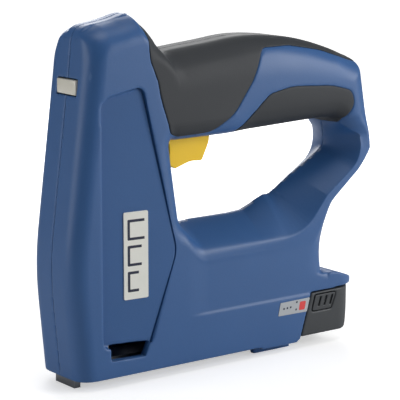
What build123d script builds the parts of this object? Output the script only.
"""Cordless staple gun, built as separate pieces with real joints.

Millimetres. The origin is the centre of the nose's contact face, where the staples come out.
+X runs from the nose to the rear, +Z is up and -Y is the tool's left side. The nose and the
heel both stand on z = 0. Every axle of the drive lies along Y.
"""
from math import acos, atan2, cos, pi, radians, sin, sqrt, tan
import os

from build123d import *

os.makedirs("parts", exist_ok=True)

# ---------------------------------------------------------------- driving dimensions
HALF_WIDTH = 19.2          # outer half width of the housing
WALL = 2.6                 # housing wall
SIDE_WALL = 4.5            # wall of the flat sides, thick enough for the side recesses
EDGE_ROUND = 8.6           # rounding between the sides and the outline
SKIN = 1.6                 # thickness of the soft grips
FLOOR_Z = 4.6              # underside of the housing
HEEL_Z = 0.0               # lowest face of the heel runners
HEEL_PAD_Z = 3.5           # underside of the wide pad beside them
BASE_REAR = 143.6          # rear of the base at its underside
POST_REAR = 185.0          # rearmost corner of the rear post
HEAD_TOP = 179.2           # corner of the head's outline, above the rounded top
HANDLE_TOP = 165.2         # highest corner of the handle's outline
WINDOW_FRONT = 50.5        # finger opening, front top corner
WINDOW_FLOOR = 71.0        # finger opening, lower edge on the middle plane
WINDOW_ROOF = 116.5        # finger opening, upper edge
FACE_GAP = 0.3             # clearance between pieces that move past each other
RUN_GAP = 0.05             # radial clearance of a shaft in its hole
FIT_GAP = 0.4              # loose fit of a fixed piece in its pocket
FAR = (220.0, 240.0)       # lengths well beyond the rear, for cutting tools
CLEAR_Y = 30.0             # a width well beyond both sides, for cutting tools

# drive
STROKE = 14.0              # travel of the hammer
BLADE_X = 3.5              # middle of the driver blade
BLADE_THICK = 1.2
BLADE_WIDTH = 10.2
BLADE_TIP_Z = 0.6
CARRIAGE_LOW = 34.6
CARRIAGE_HIGH = 74.5
CARRIAGE_HALF = 4.7
FLANGE_THICK = 3.0
FLANGE_HALF = 6.6
ROD_X = 11.1               # guide rod and spring axis
ROD_R = 2.5
SPRING_R = 5.6             # mean radius of the drive spring
SPRING_WIRE = 1.8
SEAT_Z = 128.0
SEAT_THICK = 4.0
RACK_MODULE = 1.25
RACK_PITCH_X = 18.0        # pitch line of the rack
LIFT_TEETH = 16
WHEEL_TEETH = 30
WHEEL_MODULE = 1.0
IDLER_PINION_TEETH = 10
IDLER_TEETH = 35
FIRST_MODULE = 0.8
MOTOR_PINION_TEETH = 10
LIFT_Z = 60.0
MOTOR_X = 33.5
MOTOR_Z = 97.0
MOTOR_R = 13.0
PRESSURE_ANGLE = radians(25)
ADDENDUM = 0.8             # stub teeth, in modules
DEDENDUM = 1.05
TOOTH_THIN = 0.12          # taken off each tooth's thickness, so that the mesh runs free
PLATE_IN = 5.0             # inner face of the two frame plates
PLATE_THICK = 1.4
LIFT_SHAFT_R = 2.5
IDLER_SHAFT_R = 1.5
MOTOR_SHAFT_R = 1.15

# magazine
CHANNEL_TOP = 11.4
CHANNEL_HALF = 7.1
CHANNEL_LOW = 1.6
CHANNEL_WALL = 1.0
RAIL_HALF = 4.6
RAIL_LOW = 1.0
RAIL_TOP = 8.9
RAIL_WALL = 0.8
RAIL_END = 126.0
CHANNEL_END = RAIL_END - 0.4
STRIP_LENGTH = 50.0
STAPLE_WIRE = 0.6
PUSHER_LENGTH = 13.0
PULL_LENGTH = 13.0

# battery
CELL_R = 7.1
CELL_LENGTH = 50.0
CASE_WALL = 0.9
TONGUE_FRONT = 62.0
TONGUE_LOW = 12.1
BAY_GAP = 0.4              # around the sliding battery
FOOT_LOW = 6.0
FOOT_REAR = 168.0
BUTTON_TRAVEL = 1.5

# fasteners
SCREW_R = 1.25
SCREW_HEAD_R = 2.8
SCREW_HEAD = 2.2
BOSS_R = 3.4
SCREW_TIP_Y = -10.0
SCREW_SEAT_Y = 11.5
SCREW_POINTS = [(25.0, 163.0), (100.0, 139.0), (160.0, 137.5), (138.0, 52.0), (72.0, 52.0), (43.0, 28.0)]

# outline of the housing on its middle plane, as corners and their radii
OUTLINE = [
    (-1.6, -16.0, 9.2), (-8.6, 58.0, 160.0), (3.4, 150.0, 70.0), (5.6, 170.4, 9.2),
    (35.0, HEAD_TOP, 16.0), (48.0, 174.0, 9.2), (56.0, 157.0, 3.0), (115.0, HANDLE_TOP, 180.0),
    (POST_REAR - 9.0, 146.0, 9.2), (POST_REAR, 97.0, 10.0), (POST_REAR - 29.0, 70.8, 14.0),
    (BASE_REAR - 6.0, -16.0, 9.2),
]
WINDOW = [
    (WINDOW_FRONT, WINDOW_ROOF, 4.0), (57.5, WINDOW_FLOOR - 1.0, 9.0),
    (128.0, WINDOW_FLOOR, 16.0), (161.0, 100.0, 6.0), (158.5, WINDOW_ROOF + 1.0, 6.0),
]
# the grips' edges in side view
UPPER_GRIP = [
    (39.5, 186.0, 0), (43.5, 142.0, 60), (49.5, 118.4, 3), (74.0, 119.0, 16), (88.0, 126.6, 20),
    (98.5, 141.0, 20), (106.0, 155.6, 5), (124.0, 155.8, 40), (146.0, 152.4, 40), (166.0, 146.4, 30),
    (200.0, 138.0, 0), (200.0, 186.0, 0),
]
LOWER_GRIP = [
    (84.0, 112.0, 0), (91.0, 117.6, 10), (109.5, 133.6, 9), (124.0, 136.4, 40), (150.0, 134.8, 40),
    (163.4, 131.4, 6), (165.4, 124.0, 6), (158.0, 113.0, 4), (150.0, 108.0, 0),
]
FOOT_LINE = [(137.4, 28.6), (130.4, FLOOR_Z)]      # slanted joint between housing and battery foot
LIP_TOP = [(136.0, 37.6), (155.5, 37.2), (171.0, 31.4)]
LIP_TIP_Z = 27.6
LIP_ROUND = 13.0

# ---------------------------------------------------------------- derived places
SPRING_LOW = CARRIAGE_HIGH + FLANGE_THICK
LIFT_R = RACK_MODULE * LIFT_TEETH / 2
LIFT_X = RACK_PITCH_X + LIFT_R
CARRIAGE_BACK = RACK_PITCH_X - DEDENDUM * RACK_MODULE
BLADE_FRONT = BLADE_X - BLADE_THICK / 2
BLADE_BACK = BLADE_X + BLADE_THICK / 2
PLATE_OUT = PLATE_IN + PLATE_THICK
WHEEL_IN = PLATE_OUT + 0.6
WHEEL_OUT = WHEEL_IN + 3.6
IDLER_IN = WHEEL_OUT + 0.6
IDLER_OUT = IDLER_IN + 3.0
WHEEL_CENTRES = WHEEL_MODULE * (WHEEL_TEETH + IDLER_PINION_TEETH) / 2
FIRST_CENTRES = FIRST_MODULE * (IDLER_TEETH + MOTOR_PINION_TEETH) / 2
INNER_HALF = HALF_WIDTH - SIDE_WALL
TONGUE_HALF = 2 * CELL_R + 0.2 + CASE_WALL + 0.3
TONGUE_TOP = TONGUE_LOW + 2 * CELL_R + 2 * CASE_WALL
CELL_Z = TONGUE_LOW + CASE_WALL + CELL_R
CELL_Y = CELL_R + 0.15
NOSE_BACK = BLADE_BACK + FACE_GAP
NOSE_FRONT_BACK = BLADE_FRONT - FACE_GAP

# housing
PANEL_FRONT = 9.8
PANEL_RUN_OUT = 52.0       # where the recess meets the side again
PANEL = [(PANEL_FRONT, 20.0, 3), (PANEL_FRONT, 138.0, 5), (32.5, 142.5, 4), (51.5, 62.0, 14), (36.5, 18.5, 4)]
PANEL_DEPTH = 3.2
SLOT = [(13.6, 13.4, 0.6), (13.8, 20.4, 0.6), (36.0, 19.6, 0.6), (33.0, 12.9, 0.6)]
LOWER_RIB_Z = 38.0
BOARD_X = (68.0, 122.0)
BOARD_HALF = 13.6
BOARD_Z = 34.0
BOARD_THICK = 1.6
SWITCH_X = (66.0, 88.0)
SWITCH_Z = (128.0, 136.0)
LAMP_BOARD_X = 8.6

# housing screws and labels
LABEL_THICK = 0.35
LABEL_X = (22.0, 35.0)
LABEL_Z = (44.0, 86.0)
RECESS_SLOPE = PANEL_DEPTH / (PANEL_RUN_OUT - PANEL_FRONT)
BATTERY_LABEL = [(116.8, 26.1, 0.4), (136.2, 26.3, 0.4), (134.2, 19.2, 0.4), (115.3, 19.4, 0.4)]

# nose
NOSE_SCREW_Y = 7.8
NOSE_SCREW_Z = 20.0
NOSE_SCREW_R = 1.3
NOSE_PLATE_FRONT = NOSE_FRONT_BACK - 3.4
NOSE_SEAT = NOSE_PLATE_FRONT + 1.4
NOSE_LOW_HALF = 8.3        # half width of the nose under the housing
NOSE_HIGH_HALF = 10.2      # half width of the nose inside the housing
NOSE_STEP_Z = 12.4
NOSE_BLOCK_BACK = NOSE_BACK + 13.2
BLOCK_TOP = 29.6

# hammer
BLADE_TOP_Z = 48.0
PIN_R = 1.25
PIN_Z = 42.0
RACK_LOW = LIFT_Z - STROKE - 6.0
RACK_HIGH = LIFT_Z + 7.0
BUMPER_TOP = CARRIAGE_LOW - FACE_GAP
SPRING_CLEAR = 0.05

# gear train
PLATE_OUTLINE = [
    (4.8, 35.2, 2), (45.0, 35.2, 4), (45.0, 83.2, 4), (19.6, 83.2, 2), (19.6, 72.4, 1), (4.8, 72.4, 2),
]
SPACERS = [(40.0, 41.0), (24.0, 41.0)]

# motor
MOTOR_LOW_Y = -14.3
MOTOR_HIGH_Y = 6.0
CAN_WALL = 1.2

# magazine
RAIL_FRONT = NOSE_BACK + 0.4
STRIP_TOP = RAIL_TOP + 0.2 + STAPLE_WIRE
PUSHER_FRONT = RAIL_FRONT + STRIP_LENGTH + 0.1
PUSHER_BACK = PUSHER_FRONT + PUSHER_LENGTH
PUSHER_SPRING_R = 2.2
PUSHER_SPRING_Z = RAIL_LOW + RAIL_WALL + 0.4 + PUSHER_SPRING_R + 0.35
PULL_HALF = 6.6
PULL_TOP = 9.4
LATCH_HALF = 3.0
LATCH_Z = (3.0, 7.4)
PULL_BACK = RAIL_END + PULL_LENGTH
LATCH_FRONT = PULL_BACK - 5.0

# trigger and switch
TRIGGER_HALF = 7.4
TRIGGER_PIN_X = 57.6
TRIGGER_PIN_Z = 122.6
TRIGGER_PIN_R = 1.5
TRIGGER_TRAVEL = radians(10)
TRIGGER_BACK_TOP = 123.4
TRIGGER = [
    (54.0, 125.4, 1.5), (54.0, 101.6, 1.6), (57.4, 99.7, 1.5), (66.5, 102.6, 14), (73.6, 102.2, 1.2),
    (80.6, 116.6, 3), (80.6, TRIGGER_BACK_TOP, 1), (62.4, TRIGGER_BACK_TOP, 1.0), (61.6, 126.0, 1.5),
]
PLUNGER_X = 78.0
PLUNGER_R = 1.4
PLUNGER_TRAVEL = (PLUNGER_X - TRIGGER_PIN_X) * TRIGGER_TRAVEL
PLUNGER_LOW = TRIGGER_BACK_TOP + FACE_GAP
PLUNGER_TOP = SWITCH_Z[0] + 3.4
TRIGGER_SPRING_X = 70.0

# battery pack
(JOINT_TOP_X, JOINT_TOP_Z), (JOINT_LOW_X, JOINT_LOW_Z) = FOOT_LINE
FOOT = [
    (JOINT_TOP_X + BAY_GAP, JOINT_TOP_Z - 0.5, 0.5), (FOOT_REAR, JOINT_TOP_Z - 0.2, 1.0),
    (FOOT_REAR - 6.0, FOOT_LOW, 4.0), (JOINT_LOW_X + BAY_GAP + 0.4, FOOT_LOW, 0.5),
]
COVER_BACK = 136.8
BUTTON = [(140.6, 26.6, 0.8), (154.4, 26.6, 0.8), (151.0, 18.6, 0.8), (138.4, 18.6, 0.8)]
BUTTON_DEPTH = 2.6
POCKET = [(140.2, 27.0, 1.1), (155.0, 27.0, 1.1), (151.3, 18.2, 1.1), (137.9, 18.2, 1.1)]
BUTTON_FACE = HALF_WIDTH - 0.3
CELL_FRONT = TONGUE_FRONT + CASE_WALL + 2.0
GRIP_SLOT = [(0, 0), (1.3, 0), (-0.4, -5.0), (-1.7, -5.0)]

# board, contacts and wires
WIRE_R = 0.8


def idler_centre():
    """The idler's axle, where the two centre distances meet behind the line between the other axles."""
    dx = MOTOR_X - LIFT_X
    dz = MOTOR_Z - LIFT_Z
    span = sqrt(dx * dx + dz * dz)
    along = (WHEEL_CENTRES**2 - FIRST_CENTRES**2 + span**2) / (2 * span)
    aside = sqrt(WHEEL_CENTRES**2 - along**2)
    ux, uz = dx / span, dz / span
    return LIFT_X + along * ux + aside * uz, LIFT_Z + along * uz - aside * ux


IDLER_X, IDLER_Z = idler_centre()


# ---------------------------------------------------------------- helpers
def involute(angle):
    return tan(angle) - angle


def gear_points(module, teeth, phase):
    """Outline of a spur gear with a tooth's middle at the angle phase."""
    pitch_r = module * teeth / 2
    base_r = pitch_r * cos(PRESSURE_ANGLE)
    tip_r = pitch_r + ADDENDUM * module
    root_r = pitch_r - DEDENDUM * module
    start_r = max(base_r, root_r + 0.05 * module)
    half_pitch = pi / 2 / teeth - TOOTH_THIN / 2 / pitch_r
    steps = 5
    flank = []
    for i in range(steps + 1):
        r = start_r + (tip_r - start_r) * i / steps
        a = half_pitch + involute(PRESSURE_ANGLE) - involute(acos(min(1.0, base_r / r)))
        flank.append((r, a))
    points = []
    for tooth in range(teeth):
        middle = phase + 2 * pi * tooth / teeth
        points.append((root_r * cos(middle - flank[0][1]), root_r * sin(middle - flank[0][1])))
        points += [(r * cos(middle - a), r * sin(middle - a)) for r, a in flank]
        points += [(r * cos(middle + a), r * sin(middle + a)) for r, a in reversed(flank)]
        points.append((root_r * cos(middle + flank[0][1]), root_r * sin(middle + flank[0][1])))
    return points


def y_plane(y, x=0.0, z=0.0):
    """A sketch plane facing -Y at the given y, whose own axes are +X and +Z."""
    return Plane(origin=(x, y, z), x_dir=(1, 0, 0), z_dir=(0, -1, 0))


def spur_gear(module, teeth, phase, centre, y_low, y_high, bore_r):
    """A spur gear on an axle along Y. Its faces are at y_low and y_high."""
    with BuildPart() as gear:
        with BuildSketch(y_plane(y_high, *centre)):
            with BuildLine():
                Polyline(*gear_points(module, teeth, phase), close=True)
            make_face()
            Circle(bore_r, mode=Mode.SUBTRACT)
        extrude(amount=y_high - y_low)
    return gear.part


def y_cylinder(radius, centre, y_low, y_high):
    """A plain round bar along Y."""
    with BuildPart() as bar:
        with BuildSketch(y_plane(y_high, *centre)):
            Circle(radius)
        extrude(amount=y_high - y_low)
    return bar.part


def add_face(corners, mode=Mode.ADD):
    """Add the face inside a closed line of (x, z, radius) corners to the open sketch."""
    with BuildLine() as line:
        FilletPolyline(*[(x, z) for x, z, _ in corners], radius=[r for _, _, r in corners], close=True)
    make_face(line.edges(), mode=mode)


def xz_prism(corners, y_low, y_high, inset=0.0):
    """A side-view outline given as (x, z, radius) corners, run from y_low to y_high."""
    with BuildPart() as prism:
        with BuildSketch(y_plane(y_high)):
            add_face(corners)
            if inset:
                offset(amount=-inset)
        extrude(amount=y_high - y_low)
    return prism.part


def box(x, y, z):
    """A box from (low, high) pairs."""
    with BuildPart() as block:
        with BuildSketch(Plane(origin=((x[0] + x[1]) / 2, (y[0] + y[1]) / 2, z[0]))):
            Rectangle(x[1] - x[0], y[1] - y[0])
        extrude(amount=z[1] - z[0])
    return block.part


def x_cylinder(radius, y, z, x_low, x_high):
    """A plain round bar along X."""
    with BuildPart() as bar:
        with BuildSketch(Plane(origin=(x_low, y, z), x_dir=(0, 1, 0), z_dir=(1, 0, 0))):
            Circle(radius)
        extrude(amount=x_high - x_low)
    return bar.part


def coil(mean_r, wire_r, length, turns, start, direction=(0, 0, 1)):
    """A compression spring whose ends lie at start and at length further along direction."""
    rise = length - 2 * wire_r
    base = Vector(*start) + Vector(*direction) * wire_r
    with BuildPart() as spring:
        with BuildLine() as path:
            Helix(pitch=rise / turns, height=rise, radius=mean_r, center=base, direction=direction)
        with BuildSketch(Plane(origin=path.line @ 0, z_dir=path.line % 0)):
            Circle(wire_r)
        sweep(is_frenet=True)
    return spring.part


def save(part, name):
    part.label = name
    export_step(part, f"parts/{name}.step")


# ---------------------------------------------------------------- housing
def envelope(inset=0.0):
    """The housing's outer form, set in all round by inset: rounded outline with a finger opening."""
    half = HALF_WIDTH - inset
    with BuildPart() as form:
        with BuildSketch(y_plane(half)):
            add_face(OUTLINE)
            add_face(WINDOW, mode=Mode.SUBTRACT)
            if inset:
                offset(amount=-inset)
        extrude(amount=2 * half)
        sides = form.faces().filter_by(Axis.Y).sort_by(Axis.Y)
        fillet(sides[0].edges() + sides[-1].edges(), EDGE_ROUND - inset)
        split(bisect_by=Plane.XY.offset(FLOOR_Z + inset), keep=Keep.TOP)
    return form.part


def cavity():
    """The room inside the housing: full height in the middle, set further in beside the rounded edges."""
    middle_half = HALF_WIDTH - EDGE_ROUND + 1.0
    with BuildPart() as room:
        for half, inset in ((middle_half, WALL), (INNER_HALF, EDGE_ROUND - 2.2)):
            with BuildSketch(y_plane(half)):
                add_face(OUTLINE)
                add_face(WINDOW, mode=Mode.SUBTRACT)
                offset(amount=-inset)
            extrude(amount=2 * half)
        split(bisect_by=Plane.XY.offset(FLOOR_Z + WALL), keep=Keep.TOP)
    return room.part


def lip():
    """The wedge that shelters the battery foot: it thins to the rear and is rounded in plan."""
    tip_x = LIP_TOP[-1][0]
    corners = [(x, z, 0) for x, z in LIP_TOP] + [(tip_x, LIP_TIP_Z, 0), (136.0, FOOT_LINE[0][1], 0)]
    corners[1] = (*LIP_TOP[1], 20)
    corners[2] = (*LIP_TOP[2], 1.2)
    side = xz_prism(corners, -HALF_WIDTH, HALF_WIDTH)
    with BuildPart() as plan:
        with BuildSketch(Plane.XY):
            with BuildLine():
                FilletPolyline(
                    (120, -HALF_WIDTH), (tip_x, -HALF_WIDTH), (tip_x, HALF_WIDTH), (120, HALF_WIDTH),
                    radius=[0, LIP_ROUND, LIP_ROUND, 0], close=True)
            make_face()
        extrude(amount=60)
    return side & plan.part


def foot_space():
    """Everything behind the slanted joint and under the lip, which belongs to the battery."""
    slope = (JOINT_TOP_X - JOINT_LOW_X) / (JOINT_TOP_Z - JOINT_LOW_Z)
    corners = [(JOINT_TOP_X, JOINT_TOP_Z, 0), (FAR[0], JOINT_TOP_Z + 1.0, 0), (FAR[0], -20, 0),
               (JOINT_TOP_X - slope * (JOINT_TOP_Z + 20), -20, 0)]
    return xz_prism(corners, -HALF_WIDTH - 5, HALF_WIDTH + 5)


def bosses(side):
    """Screw bosses of one half: side is -1 for the left half and 1 for the right."""
    reach = INNER_HALF + 1.0
    parts = []
    for centre in SCREW_POINTS:
        parts.append(y_cylinder(BOSS_R, centre, min(0, side * reach), max(0, side * reach)))
    return parts


skin_shell = envelope() - envelope(SKIN)
upper_skin = skin_shell & xz_prism(UPPER_GRIP, -CLEAR_Y, CLEAR_Y)
lower_skin = skin_shell & xz_prism(LOWER_GRIP, -CLEAR_Y, CLEAR_Y)
lower_skin -= box((60, FAR[0]), (-CLEAR_Y, CLEAR_Y), (60, WINDOW_ROOF - 4.0))

shell = envelope() + lip()
shell -= foot_space()
shell -= cavity()
shell -= upper_skin
shell -= lower_skin

# side recesses that frame the drive, flaring outwards to the rear


def panel_recess(side):
    """A wedge cut into one side: deep along its front edge and running out at the rear."""
    with BuildPart() as wedge:
        with BuildSketch(Plane.XY.offset(8.0)):
            with BuildLine():
                Polyline(
                    (PANEL_FRONT, side * (HALF_WIDTH - PANEL_DEPTH)), (PANEL_RUN_OUT, side * HALF_WIDTH),
                    (PANEL_RUN_OUT, side * (HALF_WIDTH + 4)), (PANEL_FRONT, side * (HALF_WIDTH + 4)),
                    close=True)
            make_face()
        extrude(amount=150)
    return wedge.part & xz_prism(PANEL, -CLEAR_Y, CLEAR_Y)


# openings and pockets shared by the two halves
nose_low_room, nose_high_room = NOSE_LOW_HALF + FIT_GAP, NOSE_HIGH_HALF + FIT_GAP
nose_front = NOSE_PLATE_FRONT - FIT_GAP / 2
nose_low_pocket = box((nose_front, NOSE_BLOCK_BACK + 0.8), (-nose_low_room, nose_low_room), (-1, 12.0))
nose_high_pocket = box((nose_front, NOSE_BLOCK_BACK + 0.6), (-nose_high_room, nose_high_room), (12.0, 36.5))
channel_slot = box(
    (3.0, 150.0), (-CHANNEL_HALF - FIT_GAP, CHANNEL_HALF + FIT_GAP), (-1, CHANNEL_TOP + FIT_GAP))
bay = box((TONGUE_FRONT - 1.5, 150.0), (-TONGUE_HALF - BAY_GAP, TONGUE_HALF + BAY_GAP),
          (TONGUE_LOW - BAY_GAP, TONGUE_TOP + BAY_GAP))
lens_window = box((-2.0, 6.0), (-8.2, 8.2), (139.7, 147.1))
trigger_slot = box((52.6, 85.0), (-8.0, 8.0), (WINDOW_ROOF - 4, 121.0))
for pocket in (nose_low_pocket, nose_high_pocket, channel_slot, bay, lens_window, trigger_slot):
    shell -= pocket


def half_of(side):
    """One housing half: the shell on one side of the middle plane with its recess, slot, bosses and ribs."""
    y_low, y_high = (-CLEAR_Y, 0.0) if side < 0 else (0.0, CLEAR_Y)
    half = shell & box((-40, FAR[1]), (y_low, y_high), (-20, FAR[0]))
    half -= panel_recess(side)
    if side < 0:
        half -= xz_prism(SLOT, -30, -INNER_HALF + 1)
    for boss in bosses(side):
        half += boss
    for rib in ribs(side):
        half += rib
    for (x, z) in SCREW_POINTS:
        if side < 0:
            half -= y_cylinder(SCREW_R, (x, z), SCREW_TIP_Y, 0.0)
        else:
            half -= y_cylinder(SCREW_R + 0.3, (x, z), 0.0, SCREW_SEAT_Y)
            half -= y_cylinder(SCREW_HEAD_R + 0.3, (x, z), SCREW_SEAT_Y, 30.0)
    return half


def ribs(side):
    """Inner ledges that carry the drive, the board, the switch and the lamp, and the heel runner."""
    def ledge(x, y, z):
        low, high = sorted((side * y[0], side * y[1]))
        return box(x, (low, high), z)
    wall = INNER_HALF + 1.0
    return [
        ledge((3.2, 20.5), (7.0, wall), (SEAT_Z + SEAT_THICK, SEAT_Z + SEAT_THICK + 3.0)),
        ledge((19.0, 46.0), (IDLER_IN if side > 0 else PLATE_OUT, wall), (LOWER_RIB_Z, LOWER_RIB_Z + 2.4)),
        ledge((BOARD_X[0], BOARD_X[1]), (BOARD_HALF - 1.4, wall), (BOARD_Z - 2.0, BOARD_Z)),
        ledge((SWITCH_X[0] - 2.4, SWITCH_X[0]), (0.0, wall), (SWITCH_Z[0] + 1.0, SWITCH_Z[1])),
        ledge((SWITCH_X[0] - 2.4, SWITCH_X[1]), (0.0, wall), (SWITCH_Z[1], SWITCH_Z[1] + 2.0)),
        ledge((LAMP_BOARD_X + 1.2, LAMP_BOARD_X + 3.4), (0.0, wall), (138.0, 150.0)),
        ledge((104.6, 128.4), (9.2, 12.6), (HEEL_Z, FLOOR_Z + 0.5)),
        ledge((105.4, 128.6), (12.6, HALF_WIDTH), (HEEL_PAD_Z, FLOOR_Z + 0.5)),
    ]


left_housing = half_of(-1)
save(left_housing, "left_housing")
right_housing = half_of(1)
save(right_housing, "right_housing")

for side, name in ((-1, "left"), (1, "right")):
    cut = box((-40, FAR[1]), (-CLEAR_Y, 0.0) if side < 0 else (0.0, CLEAR_Y), (-20, FAR[0]))
    save((upper_skin & cut), f"upper_grip_{name}")
    save((lower_skin & cut), f"lower_grip_{name}")

# ---------------------------------------------------------------- housing screws and labels
with BuildPart() as housing_screws:
    for x, z in SCREW_POINTS:
        with BuildSketch(y_plane(SCREW_SEAT_Y, x, z)):
            Circle(SCREW_R)
        extrude(amount=SCREW_SEAT_Y - SCREW_TIP_Y)
        with BuildSketch(y_plane(SCREW_SEAT_Y + SCREW_HEAD, x, z)):
            Circle(SCREW_HEAD_R)
        extrude(amount=SCREW_HEAD)
save(housing_screws.part, "housing_screws")


def recess_y(x):
    """Distance from the middle plane of the recessed side at x."""
    return HALF_WIDTH - PANEL_DEPTH + RECESS_SLOPE * (x - PANEL_FRONT)


side_labels = []
for side in (-1, 1):
    with BuildPart() as label:
        with BuildSketch(Plane.XY.offset(LABEL_Z[0])):
            with BuildLine():
                Polyline(
                    (LABEL_X[0], side * recess_y(LABEL_X[0])), (LABEL_X[1], side * recess_y(LABEL_X[1])),
                    (LABEL_X[1], side * (recess_y(LABEL_X[1]) + LABEL_THICK)),
                    (LABEL_X[0], side * (recess_y(LABEL_X[0]) + LABEL_THICK)), close=True)
            make_face()
        extrude(amount=LABEL_Z[1] - LABEL_Z[0])
    side_labels.append(label.part)
save(Compound(children=side_labels), "side_labels")

save(xz_prism(BATTERY_LABEL, -HALF_WIDTH - 0.25, -HALF_WIDTH), "battery_label")

# ---------------------------------------------------------------- work light
with BuildPart() as lamp_lens:
    with BuildSketch(Plane(origin=(1.9, 0, 143.4), x_dir=(0, 1, 0), z_dir=(1, 0, 0))):
        RectangleRounded(16.0, 7.0, 1.2)
    extrude(amount=3.6)
save(lamp_lens.part, "lamp_lens")

with BuildPart() as lamp_led:
    with BuildSketch(Plane(origin=(LAMP_BOARD_X, 0, 143.4), x_dir=(0, 1, 0), z_dir=(-1, 0, 0))):
        Circle(1.5)
    extrude(amount=2.2)
    fillet(lamp_led.faces().sort_by(Axis.X)[0].edges(), 1.1)
save(lamp_led.part, "lamp_led")
save(box((LAMP_BOARD_X, LAMP_BOARD_X + 1.2), (-6.0, 6.0), (138.0, 149.5)), "lamp_board")

# ---------------------------------------------------------------- nose
nose_plate = box((NOSE_PLATE_FRONT, NOSE_FRONT_BACK), (-NOSE_LOW_HALF, NOSE_LOW_HALF), (0.0, NOSE_STEP_Z))
nose_plate += box((NOSE_PLATE_FRONT, NOSE_FRONT_BACK), (-NOSE_HIGH_HALF, NOSE_HIGH_HALF), (NOSE_STEP_Z, 34.0))
for y in (-NOSE_SCREW_Y, NOSE_SCREW_Y):
    nose_plate -= x_cylinder(NOSE_SCREW_R, y, NOSE_SCREW_Z, NOSE_PLATE_FRONT - 1, NOSE_FRONT_BACK + 1)
    nose_plate -= x_cylinder(NOSE_SCREW_R + 1.2, y, NOSE_SCREW_Z, NOSE_PLATE_FRONT - 1, NOSE_SEAT)
save(nose_plate, "nose_plate")

nose_block = box(
    (NOSE_FRONT_BACK, NOSE_BLOCK_BACK), (-NOSE_LOW_HALF, NOSE_LOW_HALF), (CHANNEL_TOP, NOSE_STEP_Z))
nose_block += box(
    (NOSE_FRONT_BACK, NOSE_BLOCK_BACK), (-NOSE_HIGH_HALF, NOSE_HIGH_HALF), (NOSE_STEP_Z, BLOCK_TOP))
blade_room = BLADE_WIDTH / 2 + FACE_GAP
nose_block -= box((NOSE_FRONT_BACK - 1, NOSE_BACK), (-blade_room, blade_room), (0, 60))
for y in (-NOSE_SCREW_Y, NOSE_SCREW_Y):
    nose_block -= x_cylinder(NOSE_SCREW_R, y, NOSE_SCREW_Z, NOSE_FRONT_BACK - 1, NOSE_BACK + 8.0)
save(nose_block, "nose_block")

nose_screws = []
for y in (-NOSE_SCREW_Y, NOSE_SCREW_Y):
    shank = x_cylinder(NOSE_SCREW_R, y, NOSE_SCREW_Z, NOSE_SEAT, NOSE_BACK + 7.6)
    head = x_cylinder(NOSE_SCREW_R + 1.0, y, NOSE_SCREW_Z, NOSE_PLATE_FRONT + 0.2, NOSE_SEAT)
    nose_screws.append(shank + head)
save(Compound(children=nose_screws), "nose_screws")

# ---------------------------------------------------------------- hammer


def rack_points():
    """Side view of the rack's teeth, with a gap level with the lift axle."""
    pitch = pi * RACK_MODULE
    tip_x = RACK_PITCH_X + ADDENDUM * RACK_MODULE
    half_root = pitch / 4 - TOOTH_THIN / 2 + DEDENDUM * RACK_MODULE * tan(PRESSURE_ANGLE)
    half_tip = pitch / 4 - TOOTH_THIN / 2 - ADDENDUM * RACK_MODULE * tan(PRESSURE_ANGLE)
    low = int((RACK_LOW - LIFT_Z) / pitch)
    high = int((RACK_HIGH - LIFT_Z) / pitch)
    points = []
    for tooth in range(low, high):
        middle = LIFT_Z + (tooth + 0.5) * pitch
        points += [(CARRIAGE_BACK, middle - half_root), (tip_x, middle - half_tip),
                   (tip_x, middle + half_tip), (CARRIAGE_BACK, middle + half_root)]
    return points


with BuildPart() as hammer_carriage:
    with BuildSketch(y_plane(CARRIAGE_HALF)):
        with BuildLine():
            Polyline(
                (BLADE_BACK, CARRIAGE_LOW), (CARRIAGE_BACK, CARRIAGE_LOW), *rack_points(),
                (CARRIAGE_BACK, CARRIAGE_HIGH), (BLADE_BACK, CARRIAGE_HIGH), close=True)
        make_face()
    extrude(amount=2 * CARRIAGE_HALF)
    with BuildSketch(Plane.XY.offset(CARRIAGE_HIGH)):
        with Locations((ROD_X, 0)):
            RectangleRounded(2 * (ROD_X - BLADE_BACK), 2 * FLANGE_HALF, 2.0)
    extrude(amount=FLANGE_THICK)
    with BuildSketch(Plane.XY.offset(CARRIAGE_LOW)):
        with Locations((ROD_X, 0)):
            Circle(ROD_R + RUN_GAP)
    extrude(amount=60, mode=Mode.SUBTRACT)
hammer = hammer_carriage.part - x_cylinder(PIN_R, 0, PIN_Z, BLADE_BACK - 1, BLADE_BACK + 3.6)
save(hammer, "hammer_carriage")
blade = box((BLADE_FRONT, BLADE_BACK), (-BLADE_WIDTH / 2, BLADE_WIDTH / 2), (BLADE_TIP_Z, BLADE_TOP_Z))
blade -= x_cylinder(PIN_R, 0, PIN_Z, BLADE_FRONT - 1, BLADE_BACK + 1)
save(blade, "driver_blade")
save(x_cylinder(PIN_R, 0, PIN_Z, BLADE_FRONT, BLADE_BACK + 3.6), "driver_pin")

with BuildPart() as bumper:
    with BuildSketch(Plane.XY.offset(BLOCK_TOP)):
        with Locations(((NOSE_BACK + NOSE_BLOCK_BACK) / 2, 0)):
            RectangleRounded(NOSE_BLOCK_BACK - NOSE_BACK, 15.0, 1.5)
        with Locations((ROD_X, 0)):
            Circle(ROD_R, mode=Mode.SUBTRACT)
    extrude(amount=BUMPER_TOP - BLOCK_TOP)
save(bumper.part, "rubber_bumper")

with BuildPart() as guide_rod:
    with BuildSketch(Plane.XY.offset(BLOCK_TOP)):
        with Locations((ROD_X, 0)):
            Circle(ROD_R)
    extrude(amount=SEAT_Z + SEAT_THICK - BLOCK_TOP)
save(guide_rod.part, "guide_rod")

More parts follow.
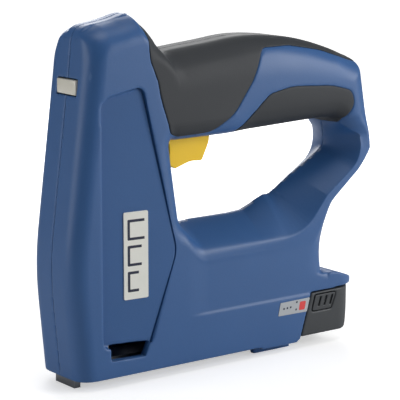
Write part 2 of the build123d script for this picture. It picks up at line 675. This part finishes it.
with BuildPart() as spring_seat:
    with BuildSketch(Plane.XY.offset(SEAT_Z)):
        with Locations((12.1, 0)):
            RectangleRounded(16.6, 20.0, 2.0)
        with Locations((ROD_X, 0)):
            Circle(ROD_R, mode=Mode.SUBTRACT)
    extrude(amount=SEAT_THICK)
save(spring_seat.part, "spring_seat")

drive_spring = coil(
    SPRING_R, SPRING_WIRE / 2, SEAT_Z - SPRING_LOW - 2 * SPRING_CLEAR, 8.0,
    (ROD_X, 0, SPRING_LOW + SPRING_CLEAR))
save(drive_spring, "drive_spring")

# ---------------------------------------------------------------- gear train
toward_idler = atan2(IDLER_Z - LIFT_Z, IDLER_X - LIFT_X)
toward_motor = atan2(MOTOR_Z - IDLER_Z, MOTOR_X - IDLER_X)
lift_pinion = spur_gear(RACK_MODULE, LIFT_TEETH, pi, (LIFT_X, LIFT_Z), -4.2, 4.2, LIFT_SHAFT_R)
lift_wheel = spur_gear(
    WHEEL_MODULE, WHEEL_TEETH, toward_idler, (LIFT_X, LIFT_Z), WHEEL_IN, WHEEL_OUT, LIFT_SHAFT_R)
idler_pinion = spur_gear(
    WHEEL_MODULE, IDLER_PINION_TEETH, toward_idler + pi + pi / IDLER_PINION_TEETH,
    (IDLER_X, IDLER_Z), WHEEL_IN, IDLER_IN, IDLER_SHAFT_R + RUN_GAP)
idler_wheel = spur_gear(
    FIRST_MODULE, IDLER_TEETH, toward_motor, (IDLER_X, IDLER_Z), IDLER_IN, IDLER_OUT, IDLER_SHAFT_R + RUN_GAP)
motor_pinion = spur_gear(
    FIRST_MODULE, MOTOR_PINION_TEETH, toward_motor + pi + pi / MOTOR_PINION_TEETH,
    (MOTOR_X, MOTOR_Z), IDLER_IN, IDLER_OUT, MOTOR_SHAFT_R)
save(lift_pinion, "lift_pinion")
save(lift_wheel, "lift_wheel")
save(idler_pinion + idler_wheel, "idler_gear")
save(motor_pinion, "motor_pinion")
save(y_cylinder(LIFT_SHAFT_R, (LIFT_X, LIFT_Z), -PLATE_OUT - 0.8, WHEEL_OUT), "lift_shaft")
save(y_cylinder(IDLER_SHAFT_R, (IDLER_X, IDLER_Z), PLATE_IN, IDLER_OUT), "idler_shaft")

for side, name in ((-1, "left"), (1, "right")):
    low, high = sorted((side * PLATE_IN, side * PLATE_OUT))
    plate = xz_prism(PLATE_OUTLINE, low, high)
    plate -= y_cylinder(LIFT_SHAFT_R + RUN_GAP, (LIFT_X, LIFT_Z), low - 1, high + 1)
    if side > 0:
        plate -= y_cylinder(IDLER_SHAFT_R, (IDLER_X, IDLER_Z), low - 1, high + 1)
    for centre in SPACERS:
        plate -= y_cylinder(1.5, centre, low - 1, high + 1)
    save(plate, f"frame_plate_{name}")
spacers = []
for centre in SPACERS:
    pillar = y_cylinder(2.6, centre, -PLATE_IN, PLATE_IN)
    spacers.append(pillar + y_cylinder(1.5, centre, -PLATE_OUT, PLATE_OUT))
save(Compound(children=spacers), "frame_spacers")

# ---------------------------------------------------------------- motor
can = y_cylinder(MOTOR_R, (MOTOR_X, MOTOR_Z), MOTOR_LOW_Y, MOTOR_HIGH_Y)
can += y_cylinder(4.0, (MOTOR_X, MOTOR_Z), MOTOR_HIGH_Y, IDLER_IN - 0.5)
can -= y_cylinder(MOTOR_R - CAN_WALL, (MOTOR_X, MOTOR_Z), MOTOR_LOW_Y + CAN_WALL, MOTOR_HIGH_Y - CAN_WALL)
can -= y_cylinder(MOTOR_SHAFT_R + RUN_GAP, (MOTOR_X, MOTOR_Z), MOTOR_LOW_Y + 0.6, 20)
save(can, "motor_can")
rotor = y_cylinder(MOTOR_R - CAN_WALL - 3.2, (MOTOR_X, MOTOR_Z), MOTOR_LOW_Y + 4.0, MOTOR_HIGH_Y - 2.6)
rotor += y_cylinder(MOTOR_SHAFT_R, (MOTOR_X, MOTOR_Z), MOTOR_LOW_Y + 0.8, IDLER_OUT)
save(rotor, "motor_rotor")

# ---------------------------------------------------------------- magazine
channel = box((NOSE_BACK, CHANNEL_END), (-CHANNEL_HALF, CHANNEL_HALF), (CHANNEL_LOW, CHANNEL_TOP))
channel_room = CHANNEL_HALF - CHANNEL_WALL
channel -= box((0, 200), (-channel_room, channel_room), (-5, CHANNEL_TOP - CHANNEL_WALL))
save(channel, "magazine_channel")

rail = box((RAIL_FRONT, RAIL_END), (-RAIL_HALF, RAIL_HALF), (RAIL_LOW, RAIL_TOP))
rail_room = RAIL_HALF - RAIL_WALL
rail -= box((RAIL_FRONT + 2.0, RAIL_END - 3.5), (-rail_room, rail_room), (RAIL_LOW + RAIL_WALL, 20))
save(rail, "magazine_rail")

strip = box((RAIL_FRONT, RAIL_FRONT + STRIP_LENGTH), (-5.5, 5.5), (2.0, STRIP_TOP))
strip -= box((0, 200), (-5.5 + STAPLE_WIRE, 5.5 - STAPLE_WIRE), (-5, STRIP_TOP - STAPLE_WIRE))
save(strip, "staple_strip")

pusher = box((PUSHER_FRONT, PUSHER_BACK), (-5.6, 5.6), (2.4, CHANNEL_TOP - CHANNEL_WALL - FACE_GAP))
pusher -= box((0, 200), (-RAIL_HALF - FACE_GAP, RAIL_HALF + FACE_GAP), (-5, RAIL_TOP + FACE_GAP))
pusher += box((PUSHER_FRONT, PUSHER_BACK), (-3.4, 3.4), (RAIL_LOW + RAIL_WALL + FACE_GAP, RAIL_TOP + 0.6))
save(pusher, "pusher")

pusher_spring = coil(
    PUSHER_SPRING_R, 0.35, RAIL_END - 3.5 - PUSHER_BACK - 0.2, 14.0,
    (PUSHER_BACK + 0.1, 0, PUSHER_SPRING_Z), (1, 0, 0))
save(pusher_spring, "pusher_spring")

pull = box((RAIL_END, PULL_BACK), (-PULL_HALF, PULL_HALF), (RAIL_LOW, PULL_TOP))
pull -= box((PULL_BACK - 9.0, PULL_BACK + 5), (-LATCH_HALF - FACE_GAP, LATCH_HALF + FACE_GAP),
            (LATCH_Z[0] - FACE_GAP, LATCH_Z[1] + FACE_GAP))
save(pull, "magazine_pull")
save(box((LATCH_FRONT, PULL_BACK + 1.8), (-LATCH_HALF, LATCH_HALF), LATCH_Z), "magazine_latch")
latch_spring = coil(
    1.5, 0.25, LATCH_FRONT - (PULL_BACK - 9.0) - 0.1, 4.0,
    (PULL_BACK - 8.95, 0, (LATCH_Z[0] + LATCH_Z[1]) / 2), (1, 0, 0))
save(latch_spring, "magazine_latch_spring")

# ---------------------------------------------------------------- trigger and switch
trigger = xz_prism(TRIGGER, -TRIGGER_HALF, TRIGGER_HALF)
trigger -= y_cylinder(TRIGGER_PIN_R + RUN_GAP, (TRIGGER_PIN_X, TRIGGER_PIN_Z), -20, 20)
save(trigger, "trigger")
pin_half = TRIGGER_HALF + 3.0
save(y_cylinder(TRIGGER_PIN_R, (TRIGGER_PIN_X, TRIGGER_PIN_Z), -pin_half, pin_half), "trigger_pin")

plunger_axis = Plane.XY.offset(PLUNGER_LOW)
with BuildPart() as plunger:
    with BuildSketch(plunger_axis):
        with Locations((PLUNGER_X, 0)):
            Circle(PLUNGER_R)
    extrude(amount=PLUNGER_TOP - PLUNGER_LOW)
save(plunger.part, "switch_plunger")
switch = box(SWITCH_X, (-7.0, 7.0), SWITCH_Z)
with BuildPart() as plunger_bore:
    with BuildSketch(Plane.XY.offset(SWITCH_Z[0] - 1)):
        with Locations((PLUNGER_X, 0)):
            Circle(PLUNGER_R + RUN_GAP)
    extrude(amount=PLUNGER_TOP + PLUNGER_TRAVEL + 0.3 - SWITCH_Z[0] + 1)
save(switch - plunger_bore.part, "switch_body")
trigger_spring = coil(
    2.4, 0.35, SWITCH_Z[0] - TRIGGER_BACK_TOP - 0.1, 3.0, (TRIGGER_SPRING_X, 0, TRIGGER_BACK_TOP + 0.05))
save(trigger_spring, "trigger_spring")

# ---------------------------------------------------------------- battery pack
foot = xz_prism(FOOT, -HALF_WIDTH, HALF_WIDTH)
with BuildPart() as foot_plan:
    with BuildSketch(Plane.XY):
        with BuildLine():
            FilletPolyline(
                (120, -HALF_WIDTH + 0.3), (FOOT_REAR, -HALF_WIDTH + 0.3), (FOOT_REAR, HALF_WIDTH - 0.3),
                (120, HALF_WIDTH - 0.3), radius=[0, LIP_ROUND - 1, LIP_ROUND - 1, 0], close=True)
        make_face()
    extrude(amount=60)
foot = foot & foot_plan.part
tongue = box((TONGUE_FRONT, 146.0), (-TONGUE_HALF, TONGUE_HALF), (TONGUE_LOW, TONGUE_TOP))
case = foot + tongue
case -= box((TONGUE_FRONT + CASE_WALL, COVER_BACK), (-TONGUE_HALF + CASE_WALL, TONGUE_HALF - CASE_WALL),
            (TONGUE_LOW + CASE_WALL, TONGUE_TOP + 1))
case -= box((100, 200), (-PULL_HALF - 1.2, PULL_HALF + 1.2), (-1, TONGUE_LOW))
for y in (-CELL_Y, CELL_Y):
    case -= box(
        (TONGUE_FRONT - 1, TONGUE_FRONT + CASE_WALL + 0.1), (y - 2.4, y + 2.4), (CELL_Z - 3, CELL_Z + 3))
for side in (-1, 1):
    low, high = sorted((side * (BUTTON_FACE - BUTTON_DEPTH - BUTTON_TRAVEL - 0.4), side * 30))
    case -= xz_prism(POCKET, low, high)
save(case, "battery_case")
save(box((TONGUE_FRONT + CASE_WALL, COVER_BACK), (-TONGUE_HALF + CASE_WALL, TONGUE_HALF - CASE_WALL),
         (TONGUE_TOP - CASE_WALL, TONGUE_TOP)), "battery_cover")

cells = [x_cylinder(CELL_R - 0.05, y, CELL_Z, CELL_FRONT, CELL_FRONT + CELL_LENGTH)
         for y in (-CELL_Y, CELL_Y)]
save(Compound(children=cells), "battery_cells")
contact_x = (TONGUE_FRONT + CASE_WALL + 0.3, CELL_FRONT)
contacts = [box(contact_x, (y - 2.0, y + 2.0), (CELL_Z - 2.5, CELL_Z + 2.5)) for y in (-CELL_Y, CELL_Y)]
save(Compound(children=contacts), "battery_contacts")
case_floor = TONGUE_LOW + CASE_WALL
battery_board = box(
    (CELL_FRONT + CELL_LENGTH + 2.0, COVER_BACK - 1.0), (-12.0, 12.0), (case_floor, case_floor + BOARD_THICK))
save(battery_board, "battery_board")

for side, name in ((-1, "left"), (1, "right")):
    low, high = sorted((side * (BUTTON_FACE - BUTTON_DEPTH), side * BUTTON_FACE))
    button = xz_prism(BUTTON, low, high)
    for i in range(3):
        x0 = 143.6 + 3.9 * i
        low, high = sorted((side * (BUTTON_FACE - 0.9), side * 30))
        button -= xz_prism([(x0 + dx, 25.6 + dz, 0.3) for dx, dz in GRIP_SLOT], low, high)
    save(button, f"battery_button_{name}")
    spring = coil(
        1.8, 0.25, BUTTON_TRAVEL + 0.4 - 0.06, 2.0,
        (146.0, side * (BUTTON_FACE - BUTTON_DEPTH - BUTTON_TRAVEL - 0.37), 22.6), (0, side, 0))
    save(spring, f"battery_button_spring_{name}")

# ---------------------------------------------------------------- board, contacts and wires
with BuildPart() as main_board:
    with BuildSketch(Plane.XY.offset(BOARD_Z)):
        with Locations(((BOARD_X[0] + BOARD_X[1]) / 2, 0)):
            Rectangle(BOARD_X[1] - BOARD_X[0], 2 * BOARD_HALF)
    extrude(amount=BOARD_THICK)
    with BuildSketch(Plane.XY.offset(BOARD_Z + BOARD_THICK)):
        with Locations(*[(BOARD_X[0] + 16 + 8 * i, 4) for i in range(3)]):
            Rectangle(6, 7)
        with Locations((BOARD_X[1] - 12, -6)):
            Rectangle(9, 9)
    extrude(amount=2.4)
save(main_board.part, "main_board")

blades = []
for y in (-CELL_Y, CELL_Y):
    upright = box((TONGUE_FRONT - 1.2, TONGUE_FRONT - 0.4), (y - 1.6, y + 1.6), (CELL_Z - 2.2, BOARD_Z))
    foot_strip = box((TONGUE_FRONT - 1.2, BOARD_X[0] + 3.0), (y - 1.6, y + 1.6), (BOARD_Z - 0.8, BOARD_Z))
    blades.append(upright + foot_strip)
save(Compound(children=blades), "tool_contacts")


def bend_radii(points):
    """The largest arc at each inner point that leaves a tenth of the shorter run straight."""
    radii = []
    for before, here, after in zip(points, points[1:], points[2:]):
        run_in = Vector(*here) - Vector(*before)
        run_out = Vector(*after) - Vector(*here)
        half_turn = radians(run_in.get_angle(run_out)) / 2
        radii.append(0.45 * min(run_in.length, run_out.length) / tan(half_turn))
    return radii


def wires(name, route, offsets):
    """Insulated leads side by side. The route is a list of (x, z) and the offsets are their y."""
    leads = []
    for y in offsets:
        points = [(x, y, z) for x, z in route]
        with BuildPart() as lead:
            with BuildLine() as path:
                FilletPolyline(*points, radius=bend_radii(points))
            with BuildSketch(Plane(origin=path.line @ 0, z_dir=path.line % 0)):
                Circle(WIRE_R)
            sweep()
        leads.append(lead.part)
    save(Compound(children=leads), name)


board_top = BOARD_Z + BOARD_THICK
front_end, rear_end = BOARD_X[0] + 2.5, BOARD_X[1] - 3.5
# the last stretch down the head and onto the board is shared by the two front pairs of leads
to_board = [(51.6, 64.0), (57.0, 48.0), (63.0, 41.0), (front_end, 41.0), (front_end, board_top)]
wires("motor_leads", [(47.4, 92.0), (49.6, 84.0)] + to_board, (-10.4, -8.2))
wires("lamp_leads", [(8.9, 138.0), (8.9, 135.9), (22.0, 136.4), (38.0, 131.0), (45.3, 118.0), (48.7, 103.0),
                     (49.2, 84.0)] + to_board, (3.4, 5.6))
wires("switch_leads", [(SWITCH_X[1], 131.0), (148.0, 131.0), (166.0, 125.5), (172.5, 112.0), (170.0, 98.0),
                       (157.0, 84.5), (143.0, 71.0), (127.0, 56.0), (rear_end, 44.0), (rear_end, board_top)],
      (-2.0, 2.0))
